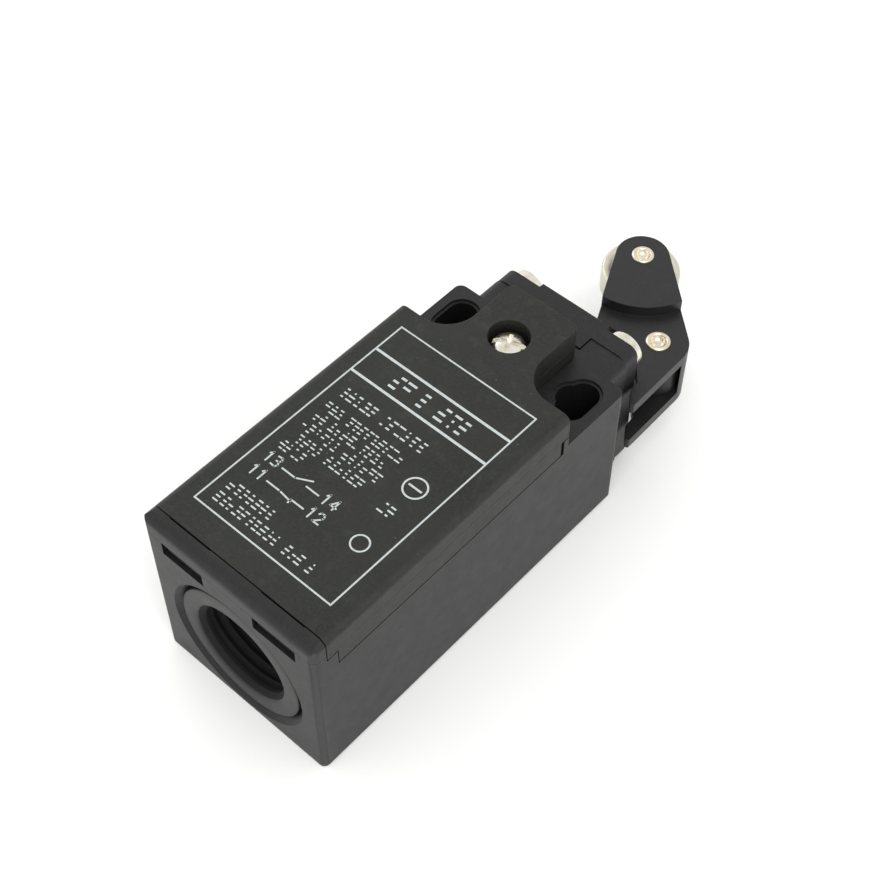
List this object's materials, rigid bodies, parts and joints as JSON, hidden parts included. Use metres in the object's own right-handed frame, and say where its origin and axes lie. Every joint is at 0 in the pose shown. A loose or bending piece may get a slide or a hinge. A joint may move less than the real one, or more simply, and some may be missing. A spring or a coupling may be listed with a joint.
{
  "type": "limit switch",
  "caption": "Compact plastic-cased position switch with a hooked screw-on cover, threaded side cable entry, sprung plunger head and a pivoted lever carrying a horizontal metal roller",
  "frame": {"origin": "midpoint between the two mounting holes, on the flat mounting face", "axes": "+X across the case, +Y from the cable entry to the head and roller, +Z out of the mounting face towards the cover"},
  "size_m": [0.03, 0.0914, 0.0295],
  "materials": {
    "case_plastic": "glass-filled plastic, faintly textured, satin",
    "cover_plastic": "finely spark-textured plastic",
    "lever_plastic": "moulded plastic, satin",
    "bush_plastic": "moulded plastic, satin",
    "rubber": "matt",
    "nickel_steel": "nickel-plated, slightly worn",
    "rivet_metal": "plated, warm tone, rolled ends",
    "roller_metal": "sintered, pale, satin",
    "brass": "satin",
    "contact_alloy": "satin copper alloy with silver points",
    "spring_steel": "bright wire",
    "block_plastic": "moulded plastic, pale grey",
    "lid_plastic": "moulded plastic, ivory"
  },
  "bodies": {
    "case": {"housing": "case_plastic", "cover": "cover_plastic", "cover_gasket": "rubber", "cover_screw": "nickel_steel", "cover_screw_insert": "brass", "entry_bush": "bush_plastic", "entry_seal": "rubber", "head": "case_plastic", "head_gasket": "rubber", "head_screws": "nickel_steel", "plunger_seal": "rubber", "contact_block": "block_plastic", "contact_block_lid": "lid_plastic", "contact_block_screws": "nickel_steel", "contact_11": "brass", "contact_12": "brass", "contact_13": "brass", "contact_14": "brass", "terminal_screws": "nickel_steel", "terminal_clamps": "nickel_steel"},
    "lever": {"lever": "lever_plastic", "pivot_rivet": "rivet_metal", "roller_rivet": "rivet_metal"},
    "roller": {"roller": "roller_metal"},
    "plunger": {"plunger": "nickel_steel", "plunger_spring": "spring_steel"},
    "stem": {"contact_stem": "lid_plastic", "stem_spring": "spring_steel", "nc_bridge": "contact_alloy", "no_bridge": "contact_alloy", "nc_bridge_spring": "spring_steel", "no_bridge_spring": "spring_steel"}
  },
  "joints": [
    {"name": "lever_hinge", "type": "hinge", "parent": "case", "child": "lever", "pos_m": [0.0097, 0.0207, 0.012], "axis": [0, 0, 1], "range_deg": [0, 18], "stiffness_Nm_per_rad": 0.1, "springref_deg": -17.19},
    {"name": "roller_spin", "type": "hinge", "parent": "lever", "child": "roller", "pos_m": [-0.0015, 0.0313, 0.0139], "axis": [0, 0, 1], "continuous": true},
    {"name": "plunger_slide", "type": "slide", "parent": "case", "child": "plunger", "axis": [0, -1, 0], "range_m": [0, 0.0028], "deforming": ["plunger_spring"]},
    {"name": "stem_slide", "type": "slide", "parent": "case", "child": "stem", "axis": [0, -1, 0], "range_m": [0, 0.0028], "deforming": ["stem_spring"]}
  ],
  "couplings": [
    {"joint": "plunger_slide", "follows": "lever_hinge", "m_per_rad": 0.00891},
    {"joint": "stem_slide", "follows": "lever_hinge", "m_per_rad": 0.00891}
  ]
}
